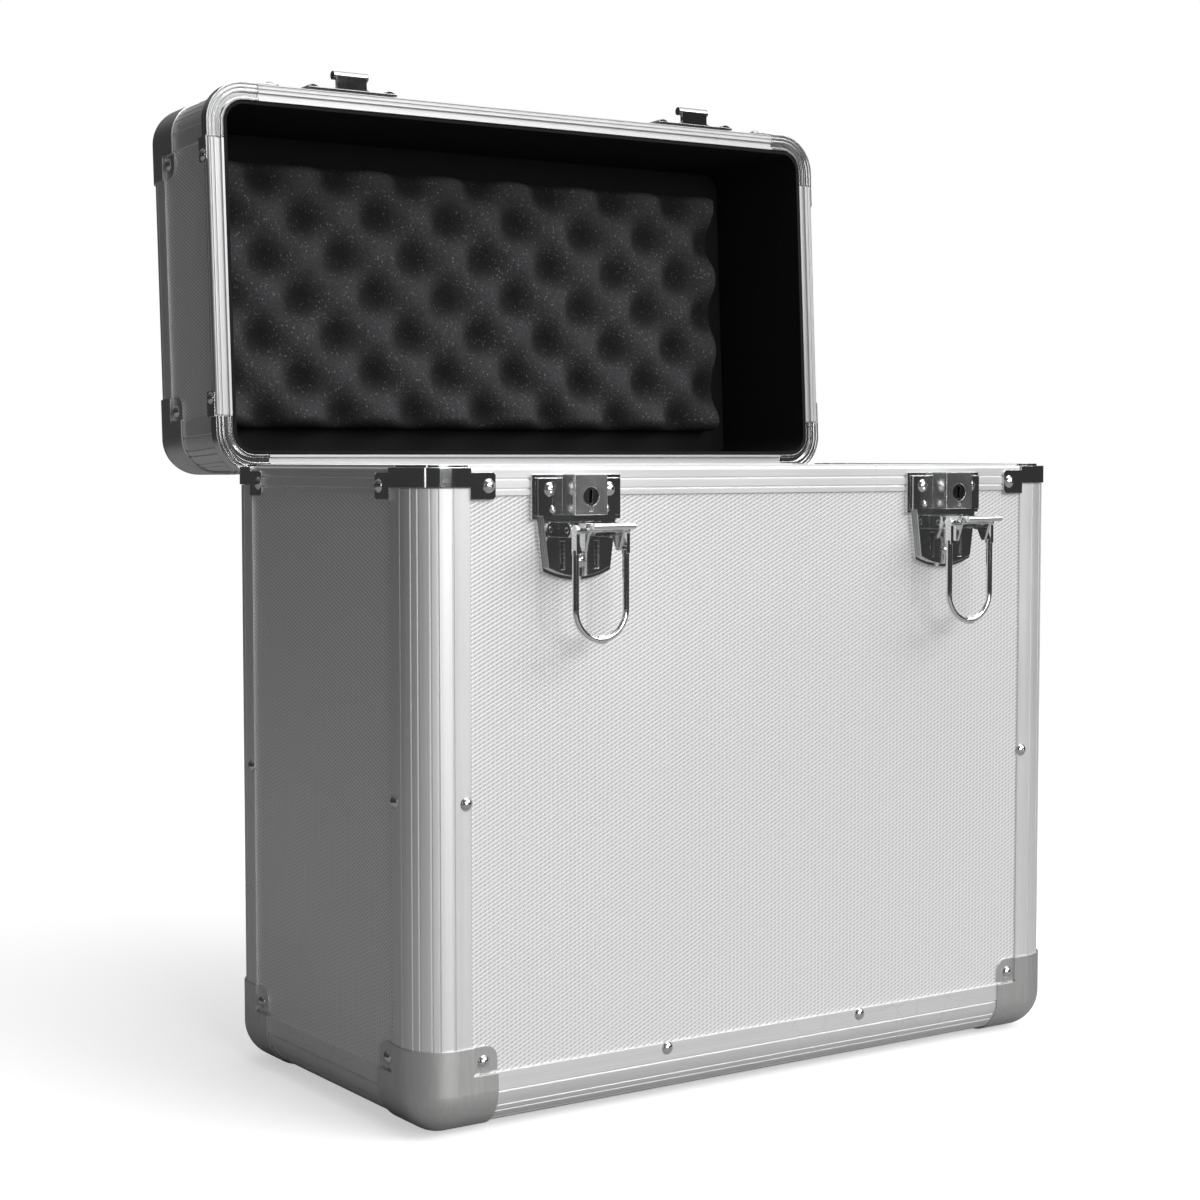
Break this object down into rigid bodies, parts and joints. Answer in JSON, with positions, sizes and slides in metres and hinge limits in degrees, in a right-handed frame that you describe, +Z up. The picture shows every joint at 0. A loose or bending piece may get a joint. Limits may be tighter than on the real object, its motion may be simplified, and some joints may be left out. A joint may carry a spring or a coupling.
{
  "type": "record carrying case",
  "caption": "Box-shaped carrying case for vinyl records with aluminium edge rails, steel ball corners, lever latches and a foam-padded hinged lid standing open.",
  "frame": {"origin": "on the plane the four feet stand on, under the middle of the body", "axes": "+Z up; -Y towards the latched front; +X to the right of someone facing the front"},
  "size_m": [0.38, 0.3272, 0.4859],
  "materials": {
    "panel_silver": "board faced with embossed silver laminate",
    "extrusion_aluminium": "satin anodised with fine lines",
    "chrome_hardware": "chromed, polished",
    "steel_corner": "plated, lightly brushed",
    "rivet_steel": "bright domed",
    "lining_black": "matt black lining sheet",
    "foam_black": "charcoal convoluted foam",
    "handle_black": "matt black plastic",
    "rubber_feet": "black rubber"
  },
  "bodies": {
    "body": {"body_front_panel": "panel_silver", "body_back_panel": "panel_silver", "body_left_panel": "panel_silver", "body_right_panel": "panel_silver", "body_bottom_panel": "panel_silver", "body_upright_front_left": "extrusion_aluminium", "body_upright_front_right": "extrusion_aluminium", "body_upright_back_left": "extrusion_aluminium", "body_upright_back_right": "extrusion_aluminium", "body_rail_front": "extrusion_aluminium", "body_rail_back": "extrusion_aluminium", "body_rail_left": "extrusion_aluminium", "body_rail_right": "extrusion_aluminium", "body_rim_front": "extrusion_aluminium", "body_rim_back": "extrusion_aluminium", "body_rim_left": "extrusion_aluminium", "body_rim_right": "extrusion_aluminium", "body_rim_corners": "chrome_hardware", "body_steel_corners": "steel_corner", "body_rivets": "rivet_steel", "body_lining": "lining_black", "feet": "rubber_feet", "left_latch_plate": "chrome_hardware", "right_latch_plate": "chrome_hardware", "left_lock_box": "chrome_hardware", "right_lock_box": "chrome_hardware", "latch_pins": "chrome_hardware", "hinge_body_leaves": "chrome_hardware", "hinge_pins": "chrome_hardware"},
    "lid": {"lid_top_panel": "panel_silver", "lid_front_panel": "panel_silver", "lid_back_panel": "panel_silver", "lid_left_panel": "panel_silver", "lid_right_panel": "panel_silver", "lid_uprights": "extrusion_aluminium", "lid_rail_front": "extrusion_aluminium", "lid_rail_back": "extrusion_aluminium", "lid_rail_left": "extrusion_aluminium", "lid_rail_right": "extrusion_aluminium", "lid_rim_front": "extrusion_aluminium", "lid_rim_back": "extrusion_aluminium", "lid_rim_left": "extrusion_aluminium", "lid_rim_right": "extrusion_aluminium", "lid_rim_corners": "chrome_hardware", "lid_steel_corners": "steel_corner", "lid_rivets": "rivet_steel", "lid_lining": "lining_black", "lid_foam": "foam_black", "left_catch": "chrome_hardware", "right_catch": "chrome_hardware", "hinge_lid_leaves": "chrome_hardware", "handle_brackets": "handle_black"},
    "left_lever_body": {"left_lever": "chrome_hardware"},
    "right_lever_body": {"right_lever": "chrome_hardware"},
    "left_loop_body": {"left_loop": "chrome_hardware"},
    "right_loop_body": {"right_loop": "chrome_hardware"},
    "left_plug_body": {"left_key_plug": "chrome_hardware"},
    "right_plug_body": {"right_key_plug": "chrome_hardware"},
    "handle_body": {"handle_grip": "handle_black"}
  },
  "joints": [
    {"name": "lid_hinge", "type": "hinge", "parent": "body", "child": "lid", "pos_m": [0, 0.0955, 0.285], "axis": [1, 0, 0], "range_deg": [0, 93]},
    {"name": "left_lever_pivot", "type": "hinge", "parent": "body", "child": "left_lever_body", "pos_m": [-0.107, -0.1025, 0.261], "axis": [1, 0, 0], "range_deg": [0, 90]},
    {"name": "left_loop_pivot", "type": "hinge", "parent": "left_lever_body", "child": "left_loop_body", "pos_m": [-0.107, -0.1125, 0.261], "axis": [1, 0, 0], "range_deg": [-274, 0]},
    {"name": "left_plug_turn", "type": "hinge", "parent": "body", "child": "left_plug_body", "pos_m": [-0.107, -0.1006, 0.27555], "axis": [0, 1, 0], "range_deg": [0, 90]},
    {"name": "right_lever_pivot", "type": "hinge", "parent": "body", "child": "right_lever_body", "pos_m": [0.107, -0.1025, 0.261], "axis": [1, 0, 0], "range_deg": [0, 90]},
    {"name": "right_loop_pivot", "type": "hinge", "parent": "right_lever_body", "child": "right_loop_body", "pos_m": [0.107, -0.1125, 0.261], "axis": [1, 0, 0], "range_deg": [-274, 0]},
    {"name": "right_plug_turn", "type": "hinge", "parent": "body", "child": "right_plug_body", "pos_m": [0.107, -0.1006, 0.27555], "axis": [0, 1, 0], "range_deg": [0, 90]},
    {"name": "handle_swing", "type": "hinge", "parent": "lid", "child": "handle_body", "pos_m": [0, 0.19577, 0.37538], "axis": [1, 0, 0], "range_deg": [-3, 177]}
  ],
  "couplings": [
    {"joint": "left_loop_pivot", "follows": "left_lever_pivot", "ratio": -3.0444},
    {"joint": "right_loop_pivot", "follows": "right_lever_pivot", "ratio": -3.0444}
  ]
}
